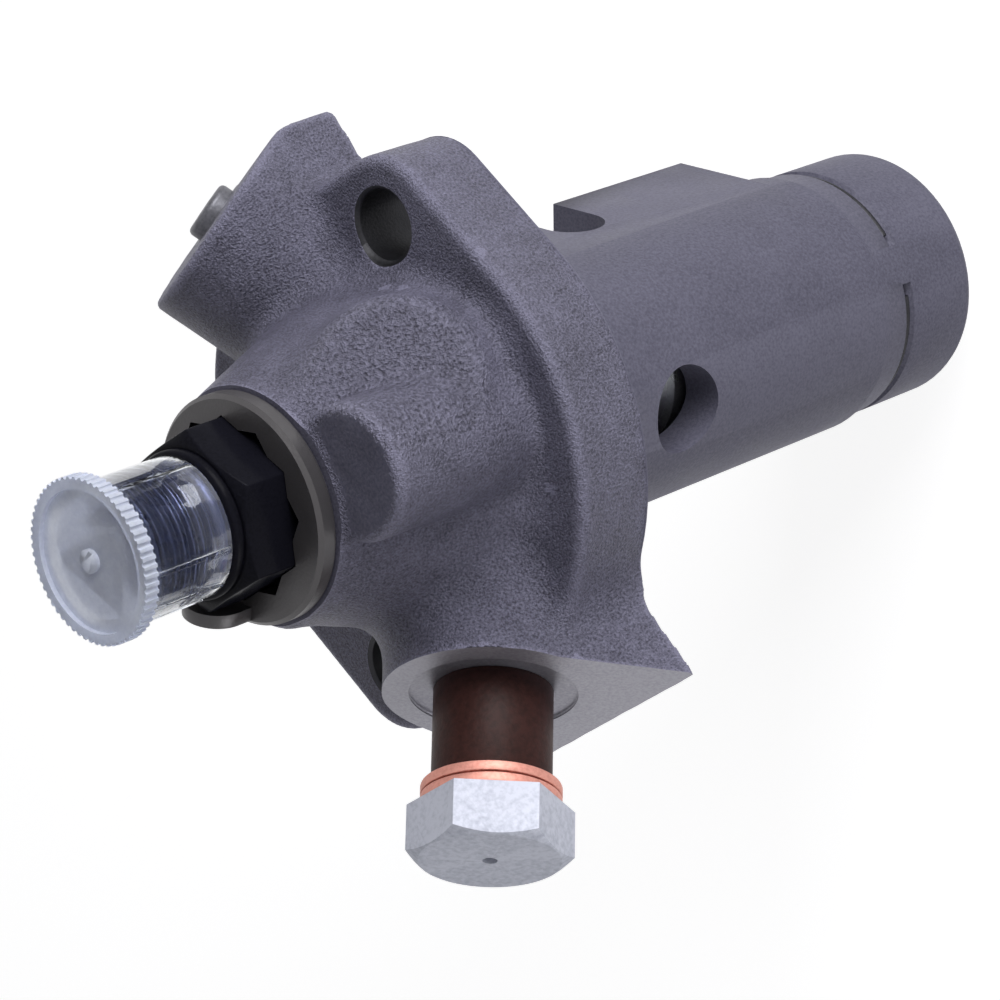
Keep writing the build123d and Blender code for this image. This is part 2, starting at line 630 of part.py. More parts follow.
# Spring seats: one under the housing's ledge, one in the tappet's pocket over the plunger's foot
with BuildPart() as upper_spring_seat:
    with BuildSketch(Plane.XY.offset(-SPRING_LEDGE_BELOW)):
        Circle(TAPPET_BORE_RADIUS - SEAT_CLEARANCE)
        Circle(SEAT_BORE, mode=Mode.SUBTRACT)
    extrude(amount=-SEAT_THICKNESS)
finish(upper_spring_seat, "upper_spring_seat")

with BuildPart() as lower_spring_seat:
    with BuildSketch(Plane.XY.offset(plunger_foot_top)):
        Circle(TAPPET_POCKET_RADIUS - SEAT_CLEARANCE)
        Circle(PLUNGER_RADIUS + SEAT_CLEARANCE, mode=Mode.SUBTRACT)
        Rectangle(
            TAPPET_POCKET_RADIUS,
            2 * (PLUNGER_RADIUS + SEAT_CLEARANCE),
            align=(Align.MIN, Align.CENTER),
            mode=Mode.SUBTRACT,
        )
    extrude(amount=SEAT_THICKNESS)
finish(lower_spring_seat, "lower_spring_seat")

# Plunger spring between the two seats
plunger_spring = coil_spring(spring_foot, spring_top, SPRING_WIRE, SPRING_MEAN_RADIUS, SPRING_TURNS)
finish(plunger_spring, "plunger_spring")

# Roller tappet: a cup above, a fork for the roller below
roller_height = -TAPPET_TOP_BELOW - ROLLER_BELOW_TAPPET_TOP
tappet_floor_top = -TAPPET_TOP_BELOW - TAPPET_POCKET_DEPTH
with BuildPart() as tappet_body:
    with BuildSketch(Plane.XY.offset(-TAPPET_TOP_BELOW)):
        Circle(tappet_radius)
    extrude(amount=-TAPPET_LENGTH)
    chamfer(tappet_body.edges().group_by(Axis.Z)[0], TAPPET_CHAMFER)
    with BuildSketch(Plane.XY.offset(-TAPPET_TOP_BELOW)):
        Circle(TAPPET_POCKET_RADIUS)
    extrude(amount=-TAPPET_POCKET_DEPTH, mode=Mode.SUBTRACT)
    with BuildSketch(Plane.XY.offset(tappet_floor_top - TAPPET_FLOOR)):
        Rectangle(4 * ROLLER_RADIUS, TAPPET_FORK_WIDTH)
    extrude(amount=-TAPPET_LENGTH, mode=Mode.SUBTRACT)
    with BuildSketch(Plane.XZ.offset(-tappet_radius)):
        with Locations((0, roller_height)):
            Circle(ROLLER_PIN_RADIUS)
    extrude(amount=2 * tappet_radius, mode=Mode.SUBTRACT)
    # Keyway for the guide pin, as long as the travel
    keyway_plane = facing_plane(GUIDE_PIN_AT, clip_middle - TAPPET_TRAVEL / 2)
    with BuildSketch(keyway_plane.offset(guide_pin_tip - GUIDE_SLOT_PLAY)):
        SlotCenterToCenter(TAPPET_TRAVEL, 2 * (GUIDE_PIN_RADIUS + GUIDE_SLOT_PLAY), rotation=90)
    extrude(amount=2 * GUIDE_PIN_DEPTH + GUIDE_SLOT_PLAY, mode=Mode.SUBTRACT)
finish(tappet_body, "tappet_body")

with BuildPart() as roller_pin:
    with BuildSketch(Plane.XZ.offset(-ROLLER_PIN_HALF)):
        with Locations((0, roller_height)):
            Circle(ROLLER_PIN_RADIUS - PRESS_FIT)
    extrude(amount=2 * ROLLER_PIN_HALF)
finish(roller_pin, "roller_pin")

bush_radius = ROLLER_PIN_RADIUS + BUSH_WALL
with BuildPart() as roller_bush:
    with BuildSketch(Plane.XZ.offset(-ROLLER_WIDTH / 2)):
        with Locations((0, roller_height)):
            Circle(bush_radius)
            Circle(ROLLER_PIN_RADIUS + ROLLER_RUNNING, mode=Mode.SUBTRACT)
    extrude(amount=ROLLER_WIDTH)
finish(roller_bush, "roller_bush")

with BuildPart() as tappet_roller:
    with BuildSketch(Plane.XZ.offset(-ROLLER_WIDTH / 2)):
        with Locations((0, roller_height)):
            Circle(ROLLER_RADIUS)
            Circle(bush_radius + ROLLER_RUNNING, mode=Mode.SUBTRACT)
    extrude(amount=ROLLER_WIDTH)
    rims = tappet_roller.edges().filter_by(GeomType.CIRCLE).group_by(SortBy.RADIUS)[-1]
    chamfer(rims, ROLLER_CHAMFER)
finish(tappet_roller, "tappet_roller")

# Guide pin in the housing's wall, and the clip that keeps it in
with BuildPart() as guide_pin:
    with BuildSketch(facing_plane(GUIDE_PIN_AT, clip_middle).offset(guide_pin_tip)):
        Circle(GUIDE_PIN_RADIUS - PRESS_FIT)
    extrude(amount=groove_radius - guide_pin_tip - SEAT_CLEARANCE)
finish(guide_pin, "guide_pin")

with BuildPart() as retaining_clip:
    with BuildSketch(radial_plane(CLIP_BRIDGE_AT + CLIP_BRIDGE_SPAN / 2 + CLIP_END_GAP, clip_middle)):
        with Locations((groove_radius + CLIP_WIRE / 2, 0)):
            Circle(CLIP_WIRE / 2)
    revolve(axis=Axis.Z, revolution_arc=360 - CLIP_BRIDGE_SPAN - 2 * CLIP_END_GAP)
finish(retaining_clip, "retaining_clip")

# Delivery valve: its body on the barrel, the valve, its spring, and the seal under the holder
with BuildPart() as delivery_valve_body:
    with BuildSketch(Plane.XZ):
        with BuildLine():
            Polyline(
                (VALVE_STEM_RADIUS + VALVE_CLEARANCE, BARREL_TOP),
                (VALVE_FLANGE_RADIUS, BARREL_TOP),
                (VALVE_FLANGE_RADIUS, BARREL_TOP + VALVE_FLANGE_THICKNESS),
                (VALVE_BODY_RADIUS, BARREL_TOP + VALVE_FLANGE_THICKNESS),
                (VALVE_BODY_RADIUS, BARREL_TOP + VALVE_BODY_LENGTH),
                (VALVE_HEAD_RADIUS, BARREL_TOP + VALVE_BODY_LENGTH),
                (VALVE_STEM_RADIUS + VALVE_CLEARANCE, valve_seat_foot),
                close=True,
            )
        make_face()
    revolve(axis=Axis.Z)
finish(delivery_valve_body, "delivery_valve_body")

with BuildPart() as delivery_valve:
    with BuildSketch(Plane.XZ):
        with BuildLine():
            Polyline(
                (0, BARREL_TOP + VALVE_TAIL_CLEARANCE),
                (VALVE_STEM_RADIUS, BARREL_TOP + VALVE_TAIL_CLEARANCE),
                (VALVE_STEM_RADIUS, valve_seat_foot + VALVE_CLEARANCE),
                (VALVE_HEAD_RADIUS, BARREL_TOP + VALVE_BODY_LENGTH + VALVE_CLEARANCE),
                (VALVE_HEAD_RADIUS, valve_head_top),
                (VALVE_STUD_RADIUS, valve_head_top),
                (VALVE_STUD_RADIUS, valve_head_top + VALVE_STUD_LENGTH),
                (0, valve_head_top + VALVE_STUD_LENGTH),
                close=True,
            )
        make_face()
    revolve(axis=Axis.Z)
    with BuildSketch(Plane.XY.offset(BARREL_TOP + VALVE_TAIL_CLEARANCE)):
        with PolarLocations(2 * VALVE_STEM_RADIUS, 4):
            Circle(VALVE_FLUTE_RADIUS)
    extrude(amount=VALVE_FLUTE_LENGTH, mode=Mode.SUBTRACT)
finish(delivery_valve, "delivery_valve")

valve_spring = coil_spring(
    valve_head_top, HOLDER_CAVITY_TOP, VALVE_SPRING_WIRE, VALVE_SPRING_RADIUS, VALVE_SPRING_TURNS
)
finish(valve_spring, "valve_spring")

with BuildPart() as valve_seal:
    with BuildSketch(Plane.XY.offset(BARREL_TOP + VALVE_BODY_LENGTH)):
        Circle(VALVE_BODY_RADIUS)
        Circle(SEAL_BORE, mode=Mode.SUBTRACT)
    extrude(amount=SEAL_THICKNESS)
finish(valve_seal, "valve_seal")

# Delivery valve holder: thread in the head, hexagon, and the union for the injection pipe
with BuildPart() as valve_holder:
    with BuildSketch(Plane.XY.offset(seal_top)):
        Circle(HOLDER_THREAD_RADIUS - THREAD_FIT)
    extrude(amount=NECK_TOP - seal_top)
    with BuildSketch(Plane.XY.offset(NECK_TOP)):
        RegularPolygon(HEX_FLATS / 2, 6, major_radius=False, rotation=HEX_TURN)
    extrude(amount=HEX_TOP - NECK_TOP)
    crown(Plane.XY.offset(HEX_TOP), HEX_FLATS)
    with BuildSketch(Plane.XY.offset(HEX_TOP)):
        Circle(UNION_RADIUS)
    extrude(amount=UNION_TOP - HEX_TOP)
    chamfer(valve_holder.edges().group_by(Axis.Z)[-1], UNION_CHAMFER)
    with BuildSketch(Plane.XZ):
        with BuildLine():
            Polyline(
                (0, seal_top),
                (HOLDER_CAVITY_RADIUS, seal_top),
                (HOLDER_CAVITY_RADIUS, HOLDER_CAVITY_TOP),
                (HOLDER_PASSAGE_RADIUS, HOLDER_CAVITY_TOP),
                (HOLDER_PASSAGE_RADIUS, UNION_TOP - UNION_CONE_DEPTH),
                (UNION_CONE_RADIUS, UNION_TOP),
                (0, UNION_TOP),
                close=True,
            )
        make_face()
    revolve(axis=Axis.Z, mode=Mode.SUBTRACT)
finish(valve_holder, "valve_holder")

# Lock ring whose twelve-point hole keeps the holder's hexagon from turning, with its bent-up tab
with BuildPart() as lock_ring:
    with BuildSketch(Plane.XY.offset(NECK_TOP)):
        Circle(LOCK_RING_RADIUS)
    extrude(amount=LOCK_RING_THICKNESS)
    chamfer(lock_ring.edges().group_by(Axis.Z)[-1], LOCK_RING_CHAMFER)
    tab_plane = facing_plane(LOCK_TAB_AT, NECK_TOP)
    with BuildSketch(tab_plane.offset(LOCK_RING_RADIUS - LOCK_TAB_THICKNESS)):
        Rectangle(LOCK_TAB_WIDTH, LOCK_TAB_HEIGHT, align=(Align.CENTER, Align.MIN))
    extrude(amount=LOCK_TAB_THICKNESS)
    through_tab = Axis(tab_plane.origin, tab_plane.z_dir)
    fillet(lock_ring.edges().filter_by(through_tab).group_by(Axis.Z)[-1], LOCK_TAB_ROUND)
    with BuildSketch(Plane.XY.offset(NECK_TOP)):
        for turn in (0, HEX_TURN):
            RegularPolygon(HEX_FLATS / 2 + LOCK_RING_PLAY, 6, major_radius=False, rotation=turn)
    extrude(amount=LOCK_RING_THICKNESS, mode=Mode.SUBTRACT)
finish(lock_ring, "lock_ring")

# Transit cap pushed over the union
with BuildPart() as transit_cap:
    with BuildSketch(Plane.XY.offset(CAP_TUBE_FOOT)):
        Circle(CAP_TUBE_RADIUS)
    extrude(amount=CAP_TOP - CAP_DISC_THICKNESS - CAP_TUBE_FOOT)
    with BuildSketch(Plane.XY.offset(CAP_TOP - CAP_DISC_THICKNESS)):
        Circle(CAP_DISC_RADIUS)
        with PolarLocations(CAP_DISC_RADIUS, CAP_TEETH):
            Circle(CAP_TOOTH_RADIUS, mode=Mode.SUBTRACT)
    extrude(amount=CAP_DISC_THICKNESS)
    with BuildSketch(Plane.XY.offset(CAP_TOP)):
        Circle(CAP_DISH_RADIUS)
        Circle(CAP_NIPPLE_RADIUS, mode=Mode.SUBTRACT)
    extrude(amount=-CAP_DISH_DEPTH, mode=Mode.SUBTRACT)
    with BuildSketch(Plane.XY.offset(CAP_TUBE_FOOT)):
        Circle(UNION_RADIUS + CAP_PLAY)
    extrude(amount=UNION_TOP + CAP_PLAY - CAP_TUBE_FOOT, mode=Mode.SUBTRACT)
finish(transit_cap, "transit_cap")

# Transit sleeve, washers and banjo bolt on the inlet face
spot_plane = inlet_face.offset(-SPOT_FACE_DEPTH)
washer_plane = spot_plane.offset(TRANSIT_SLEEVE_LENGTH)
bolt_seat = washer_plane.offset(2 * WASHER_THICKNESS)
shank_radius = INLET_THREAD_RADIUS - THREAD_FIT
shank_length = 2 * WASHER_THICKNESS + TRANSIT_SLEEVE_LENGTH + BANJO_SHANK_IN_BOSS
with BuildPart() as transit_sleeve:
    with BuildSketch(spot_plane):
        Circle(TRANSIT_SLEEVE_RADIUS)
        Circle(INLET_THREAD_RADIUS, mode=Mode.SUBTRACT)
    extrude(amount=TRANSIT_SLEEVE_LENGTH)
finish(transit_sleeve, "transit_sleeve")

with BuildPart() as banjo_washers:
    for washer in range(2):
        with BuildSketch(washer_plane.offset(washer * (WASHER_THICKNESS + WASHER_GAP))):
            Circle(WASHER_RADIUS)
            Circle(INLET_THREAD_RADIUS, mode=Mode.SUBTRACT)
        extrude(amount=WASHER_THICKNESS - WASHER_GAP)
finish(banjo_washers, "banjo_washers")

with BuildPart() as banjo_bolt:
    with BuildSketch(bolt_seat):
        RegularPolygon(BANJO_HEX_FLATS / 2, 6, major_radius=False, rotation=BANJO_HEX_TURN)
    extrude(amount=BANJO_HEAD)
    crown(bolt_seat.offset(BANJO_HEAD), BANJO_HEX_FLATS)
    with BuildSketch(bolt_seat):
        Circle(shank_radius)
    extrude(amount=-shank_length)
    with BuildSketch(bolt_seat.offset(-shank_length)):
        Circle(BANJO_BORE_RADIUS)
    extrude(amount=BANJO_SHANK_IN_BOSS + TRANSIT_SLEEVE_LENGTH, mode=Mode.SUBTRACT)
    with BuildSketch(bolt_seat.offset(BANJO_HEAD)):
        Circle(BANJO_CENTRE_HOLE_RADIUS)
    extrude(amount=-BANJO_CENTRE_HOLE_DEPTH, mode=Mode.SUBTRACT)
finish(banjo_bolt, "banjo_bolt")

# Gallery plug and its washer, recessed in the other boss
plug_seat = plug_face.offset(-PLUG_SPOT_DEPTH)
plug_under_head = plug_seat.offset(PLUG_WASHER_THICKNESS)
with BuildPart() as plug_washer:
    with BuildSketch(plug_seat):
        Circle(PLUG_WASHER_RADIUS)
        Circle(PLUG_THREAD_RADIUS, mode=Mode.SUBTRACT)
    extrude(amount=PLUG_WASHER_THICKNESS)
finish(plug_washer, "plug_washer")

with BuildPart() as gallery_plug:
    with BuildSketch(plug_under_head):
        Circle(PLUG_HEAD_RADIUS)
    extrude(amount=PLUG_HEAD_HEIGHT)
    outward = Axis(plug_face.origin, plug_face.z_dir)
    fillet(gallery_plug.faces().sort_by(outward)[-1].edges(), PLUG_HEAD_ROUND)
    with BuildSketch(plug_under_head.offset(PLUG_HEAD_HEIGHT)):
        RegularPolygon(PLUG_SOCKET_FLATS / 2, 6, major_radius=False)
    extrude(amount=-PLUG_SOCKET_DEPTH, mode=Mode.SUBTRACT)
    with BuildSketch(plug_under_head):
        Circle(PLUG_THREAD_RADIUS - THREAD_FIT)
    extrude(amount=-(PLUG_THREAD_DEPTH - PLUG_THREAD_SPARE))
finish(gallery_plug, "gallery_plug")
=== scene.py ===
"""Looks, light and camera for the diesel injection pump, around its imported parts.

The casting's field, the profiles and the frames are in millimetres, as on a drawing; Blender's own lengths are in
metres. Azimuths are in degrees round the pump's axis, counted from X.
"""
import json
from math import cos, pi, radians, sin

import bmesh
import bpy
import numpy as np
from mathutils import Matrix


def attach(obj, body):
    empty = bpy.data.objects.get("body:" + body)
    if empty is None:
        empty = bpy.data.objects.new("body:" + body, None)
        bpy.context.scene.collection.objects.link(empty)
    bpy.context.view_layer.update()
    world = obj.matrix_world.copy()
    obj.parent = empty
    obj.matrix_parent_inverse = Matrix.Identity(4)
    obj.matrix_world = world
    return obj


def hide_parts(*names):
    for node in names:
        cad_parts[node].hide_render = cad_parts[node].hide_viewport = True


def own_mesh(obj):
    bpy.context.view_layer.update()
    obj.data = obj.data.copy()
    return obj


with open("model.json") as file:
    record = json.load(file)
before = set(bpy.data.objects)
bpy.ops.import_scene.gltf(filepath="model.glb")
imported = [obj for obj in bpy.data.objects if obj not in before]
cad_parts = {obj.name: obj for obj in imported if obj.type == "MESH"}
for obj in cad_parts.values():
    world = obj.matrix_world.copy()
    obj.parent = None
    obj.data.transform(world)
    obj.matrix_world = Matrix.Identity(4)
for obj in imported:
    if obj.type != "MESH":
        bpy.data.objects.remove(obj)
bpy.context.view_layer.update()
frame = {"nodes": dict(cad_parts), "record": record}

import openvdb
from mathutils import Matrix, Vector

MM = 0.001

# Camera, at the photograph's viewing angle
CAMERA_PLACE = (0.33609, -0.05624, 0.30321)
CAMERA_TURN = (-22.0694, 43.8571, -38.1171)
CAMERA_LENS = 135.91
CAMERA_SENSOR = 36
CAMERA_CLIP = 0.01

# Light: each lamp's place, side and power
KEY = ((0.5, 0.32, 0.12), 0.4, 4.2)
FILL = ((0.15, -0.55, 0.03), 0.3, 0.9)
WORLD_LEVEL = 0.16
FLOOR_LEVEL = -0.0885
FLOOR_SIZE = 3.0
FLOOR_COLOUR = (0.55, 0.55, 0.56)
FLOOR_ROUGHNESS = 0.9
FLOOR_GLOW = 0.8

# Grid of the casting's field
STEP = 0.5
FIELD_LOW = (-41, -47, -3)
FIELD_HIGH = (41, 47, 37)
WAVE_HEIGHT = 0.05

# Flange, cast thicker below and faced off at zero
FLANGE_STOCK = -2
FLANGE_RADIUS = 31.5
FLANGE_TOP = 11.0
FLANGE_EDGE = 1.2
EAR_ANGLE = 53.0
EAR_RADIUS = 8.3
BOLT_PITCH_RADIUS = 28.0
BOLT_HOLE_RADIUS = 4.3
BOLT_HOLE_CHAMFER = 0.5

# Neck, and the lug and pad beside it, which all rise from inside the flange
ROOT = 5
NECK_FOOT_RADIUS = 22.0
NECK_TOP_RADIUS = 14.3
NECK_TOP = 33.5
NECK_STOCK = 1
NECK_EDGE = 0.8
NECK_BLEND = 4.0
RING_OFFSET = (0.6, -0.6)
LUG_AT = -12.5
LUG_OFFSET = 18.0
LUG_RADIUS = 8.2
LUG_TOP = 33.2
LUG_BLEND = 1.2
PAD_AT = -109.0
PAD_OFFSET = 11.6
PAD_RADIUS = 3.8
PAD_BLEND = 1.5
POST_EDGE = 1.2

# Inclined bosses: outlines are (across, up) from the middle of the nose
BOSS_FLOOR = 0.4
BOSS_FLOOR_EDGE = 0.5
BOSS_DEPTH = 34.0
NOSE_RADIUS = 13.2
PLUG_AZIMUTH = 101.0
PLUG_OUTLINE = [(-NOSE_RADIUS, 0), (NOSE_RADIUS, 0), (13.5, -24), (-15.4, -24)]
PLUG_EDGE = 0.8
PLUG_WALL_AT = 38.8
PLUG_WALL_EDGE = 1.0
PLUG_BLEND = 3.0
INLET_OUTLINE = [(-NOSE_RADIUS, 0), (NOSE_RADIUS, 0), (18.9, -15), (18.9, -20), (-15.5, -20)]
INLET_EDGE = 0.6
INLET_STOCK = 1
INLET_BLEND = 4.5
DISC_RADIUS = 10.5
DISC_DEPTH = 22.0
DISC_FLARE = 0.15
DISC_EDGE = 2.4
DISC_BLEND = 4.5
DISC_FACE_DEPTH = 1.2

# The housing's finishes, as indices of its materials; the last is painted shade, a near-black put on the walls of
# the bore and bolt holes
CAST, MACHINED, COARSE, MILLED_AND_LIT, PAINTED_SHADE = range(5)
FINISH_COUNT = 5
GUIDE_OVERLAP = 0.2
FACED_TOP_DEPTH = 0.1
FACED_TOP_NORMAL = 0.99

# What is turned out of the housing, as (radius, height)
BORE = [
    (0, -5), (8.5, -5), (8.5, 2), (10.5, 2), (10.5, 3), (12.2, 3),
    (12.2, 12), (10.5, 12), (10.5, 18), (11, 18), (11, 50), (0, 50),
]
SPOT_FACE = [(0, -12), (6, -12), (6, -1.2), (6.7, -0.5), (10, -0.5), (10, 5), (0, 5)]
PLUG_SPOT = [(0, -12), (2.5, -12), (2.5, -0.5), (4.8, -0.5), (4.8, 5), (0, 5)]
BOLT_HOLE = [
    (0, -5),
    (BOLT_HOLE_RADIUS, -5),
    (BOLT_HOLE_RADIUS, FLANGE_TOP - BOLT_HOLE_CHAMFER),
    (BOLT_HOLE_RADIUS + BOLT_HOLE_CHAMFER, FLANGE_TOP),
    (BOLT_HOLE_RADIUS + BOLT_HOLE_CHAMFER, 20),
    (0, 20),
]

# Valve holder
BLUED = 1
HOLDER_FOOT = 33.6
HEX_FOOT = 33.5
HEX_TOP = 42.4
HEX_CORNER_RADIUS = 10.97
HEX_BEVEL = 0.25
CROWN = [(0, 33.4), (11.3, 33.4), (11.3, HEX_TOP - 1.15), (9.2, HEX_TOP), (0, HEX_TOP)]
COLLAR = [(0, 40), (8.9, 40), (8.9, 43.2), (8.6, 43.5), (0, 43.5)]
UNION_FOOT = 40.5
UNION_TOP = 55.5
UNION_RADIUS = 7.0
UNION_TAPER = 0.5
THREAD_FOOT = 44.5
THREAD_PITCH = 1.5
THREAD_TURNS = 7
THREAD_GROOVE = ((0, 0), (0.7, 0.6), (0.7, 0.75), (0, 1.3))
CAVITY_RADIUS = 5.2
CAVITY_TOP = 38.0
PASSAGE_RADIUS = 1.5
PASSAGE = [
    (0, 20),
    (CAVITY_RADIUS, 20),
    (CAVITY_RADIUS, CAVITY_TOP),
    (PASSAGE_RADIUS, CAVITY_TOP),
    (PASSAGE_RADIUS, 51),
    (4.9, UNION_TOP + 0.5),
    (0, UNION_TOP + 0.5),
]

# Lock ring: its hole is two hexagons
RING = [(0, 33.5), (13.5, 33.5), (13.8, 33.8), (13.8, 35.5), (13.3, 36), (0, 36)]
RING_HOLE_RADIUS = 11.15
RING_BEVEL = 0.2
TAB_AT = -134.0
TAB_REACH = 11.2
TAB_HALF_WIDTH = 3.9
TAB_THICKNESS = 1.7
TAB_FOOT = 33.6
TAB_SHOULDER = 38.0
TAB_BEVEL = 0.5

# Transit cap: azimuths of its raised edges, and one's corners across, along and out of the tube
FROSTED = 1
CAP_DISC_FOOT = 55.7
CAP_TUBE_RADIUS = 8.45
CAP_RIBS = (-104, -72, -38, 40, 95, 150)
RIB_LOW = (-0.22, 44.2, -0.4)
RIB_HIGH = (0.22, 55.9, 0.2)

# Springs: node, joint that shortens it, height of its fixed end and the joint's travel
SPRINGS = (("plunger_spring", "tappet_slide", -38.6, 8.0), ("valve_spring", "valve_lift", 38.0, 2.0))

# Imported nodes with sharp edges, and how much these are rounded
ROUNDED = (("banjo_bolt", 0.2), ("banjo_washers", 0.15), ("transit_sleeve", 0.2))
BEVEL_SEGMENTS = 2
BEVEL_ANGLE = 25
WELD_GAP = 1e-6

# Materials
GRAIN_DETAIL = 2
PATCH_DETAIL = 4
PATCH_GRAINS = 20
NOISE_ROUGHNESS = 0.6
NOISE_RANGE = (0.3, 0.7)
# Pointiness over which sharp edges are lightened as a painted highlight
EDGE_HIGHLIGHT_RANGE = (0.505, 0.55)
SPECK_SHARE = 0.8
CLOUD_SHARE = (-0.1, 0.2)
CAST_DARK = (0.045, 0.043, 0.064)
CAST_LIGHT = (0.2, 0.195, 0.275)


def boss_frame(azimuth, tilt, crossing, reach):
    """(origin, across, up, out) of a face that lies reach out from the axis point at height crossing."""
    turn, lean = radians(azimuth), radians(tilt)
    out = np.array([sin(lean) * cos(turn), sin(lean) * sin(turn), cos(lean)])
    across = np.array([-sin(turn), cos(turn), 0])
    return out * reach + [0, 0, crossing], across, np.cross(out, across), out


def side_frame(azimuth, height, reach):
    """The frame of an upright face: across is round the axis and up is Z."""
    return boss_frame(azimuth, 90.0, height, reach)


INLET = boss_frame(-90.0, 56.0, -8.0, 38.0)
PLUG = boss_frame(PLUG_AZIMUTH, 60.0, -8.0, 41.8)
DISC = boss_frame(11.0, 50.0, 5.6, 27.4)
UPRIGHT = boss_frame(0.0, 0.0, 0.0, 0.0)
# Turned so that the first corner of a hexagon lies along X
HEXAGON = boss_frame(90.0, 0.0, 0.0, 0.0)


def standing(origin):
    """The upright frame, moved to an origin."""
    return (origin, *UPRIGHT[1:])


def join(a, b, blend):
    """Two solids' fields as one, with a fillet of about that radius between them."""
    share = np.clip(0.5 + 0.5 * (b - a) / blend, 0, 1)
    return b + (a - b) * share - blend * share * (1 - share)


def meet(a, b, blend):
    """What two solids share, with its edge rounded."""
    return -join(-a, -b, blend)


def slab(outline, along, low, high, edge):
    """An outline's field carried from low to high, with its edges rounded."""
    a = outline + edge
    b = np.abs(along - (low + high) / 2) - (high - low) / 2 + edge
    return np.minimum(np.maximum(a, b), 0) + np.hypot(np.maximum(a, 0), np.maximum(b, 0)) - edge


def hull(x, y, radius, far_radius, gap):
    """A circle joined by its tangents to another one at x = gap."""
    y = np.abs(y)
    lean = (radius - far_radius) / gap
    run = np.sqrt(1 - lean * lean)
    along = x * run - y * lean
    side = y * run + x * lean - radius
    side = np.where(along < 0, np.hypot(x, y) - radius, side)
    return np.where(along > run * gap, np.hypot(x - gap, y) - far_radius, side)


def polygon(x, y, corners):
    """The field of a closed polygon."""
    nearest = np.full(x.shape, 1e9)
    inside = np.zeros(x.shape, bool)
    for a, b in zip(corners, corners[1:] + corners[:1]):
        edge = (b[0] - a[0], b[1] - a[1])
        share = ((x - a[0]) * edge[0] + (y - a[1]) * edge[1]) / (edge[0] ** 2 + edge[1] ** 2)
        share = np.clip(share, 0, 1)
        gap = (x - a[0] - edge[0] * share) ** 2 + (y - a[1] - edge[1] * share) ** 2
        nearest = np.minimum(nearest, gap)
        if a[1] != b[1]:
            crossing = a[0] + (y - a[1]) * edge[0] / edge[1]
            inside ^= ((a[1] > y) != (b[1] > y)) & (x < crossing)
    return np.where(inside, -1, 1) * np.sqrt(nearest)


def keyhole(u, v, corners):
    """A round nose on a polygon."""
    return np.minimum(np.hypot(u, v) - NOSE_RADIUS, polygon(u, v, corners))


def turned(x, y, degrees):
    """Coordinates in axes turned about Z."""
    c, s = cos(radians(degrees)), sin(radians(degrees))
    return c * x + s * y, c * y - s * x


def post(x, y, z, azimuth, offset, radius):
    """A round post that stands beside the axis."""
    x, y = turned(x, y, azimuth)
    return slab(np.hypot(x - offset, y) - radius, z, ROOT, LUG_TOP, POST_EDGE)


def local(place, x, y, z):
    """Coordinates across, up and out of a frame."""
    origin, *axes = place
    return [(x - origin[0]) * a[0] + (y - origin[1]) * a[1] + (z - origin[2]) * a[2] for a in axes]


def cast_field(x, y, z):
    """The head casting's distance field: negative inside."""
    ear_x, ear_y = turned(x, y, EAR_ANGLE)
    rim = np.minimum(
        hull(ear_x, ear_y, FLANGE_RADIUS, EAR_RADIUS, BOLT_PITCH_RADIUS),
        hull(-ear_x, ear_y, FLANGE_RADIUS, EAR_RADIUS, BOLT_PITCH_RADIUS),
    )
    solid = slab(rim, z, FLANGE_STOCK, FLANGE_TOP, FLANGE_EDGE)
    slope = (NECK_TOP_RADIUS - NECK_FOOT_RADIUS) / (NECK_TOP - FLANGE_TOP)
    from_axis = np.hypot(x - RING_OFFSET[0], y - RING_OFFSET[1])
    side = (from_axis - NECK_FOOT_RADIUS - slope * (z - FLANGE_TOP)) / np.hypot(1, slope)
    solid = join(solid, slab(side, z, ROOT, NECK_TOP + NECK_STOCK, NECK_EDGE), NECK_BLEND)
    # Plug boss, with its upright wall
    u, v, w = local(PLUG, x, y, z)
    boss = slab(keyhole(u, v, PLUG_OUTLINE), w, -BOSS_DEPTH, 0, PLUG_EDGE)
    boss = meet(boss, turned(x, y, PLUG_AZIMUTH)[0] - PLUG_WALL_AT, PLUG_WALL_EDGE)
    solid = join(solid, meet(boss, BOSS_FLOOR - z, BOSS_FLOOR_EDGE), PLUG_BLEND)
    # Inlet boss; its face is machined later
    u, v, w = local(INLET, x, y, z)
    boss = slab(keyhole(u, v, INLET_OUTLINE), w, -BOSS_DEPTH, INLET_STOCK, INLET_EDGE)
    solid = join(solid, meet(boss, BOSS_FLOOR - z, BOSS_FLOOR_EDGE), INLET_BLEND)
    # Blank disc boss
    u, v, w = local(DISC, x, y, z)
    side = np.hypot(u, v) - DISC_RADIUS - DISC_FLARE * np.maximum(-w, 0)
    solid = join(solid, slab(side, w, -DISC_DEPTH, 0, DISC_EDGE), DISC_BLEND)
    # Lug, and the pad beside the lock ring
    solid = join(solid, post(x, y, z, LUG_AT, LUG_OFFSET, LUG_RADIUS), LUG_BLEND)
    solid = join(solid, post(x, y, z, PAD_AT, PAD_OFFSET, PAD_RADIUS), PAD_BLEND)
    # Unevenness that a sand mould leaves: waves some 8 mm long, bent by each other
    waves = np.sin(0.9 * x + 1.3 * np.sin(0.7 * z)) * np.sin(0.8 * y + 1.1 * np.cos(0.6 * x)) * np.cos(0.75 * z)
    return solid + WAVE_HEIGHT * (1 + waves)


def from_bmesh(name, work, finish=0):
    """A scene object from a bmesh, with one material index for all its faces."""
    bmesh.ops.recalc_face_normals(work, faces=work.faces)
    for face in work.faces:
        face.material_index = finish
    mesh = bpy.data.meshes.new(name)
    work.to_mesh(mesh)
    work.free()
    made = bpy.data.objects.new(name, mesh)
    bpy.context.scene.collection.objects.link(made)
    return made


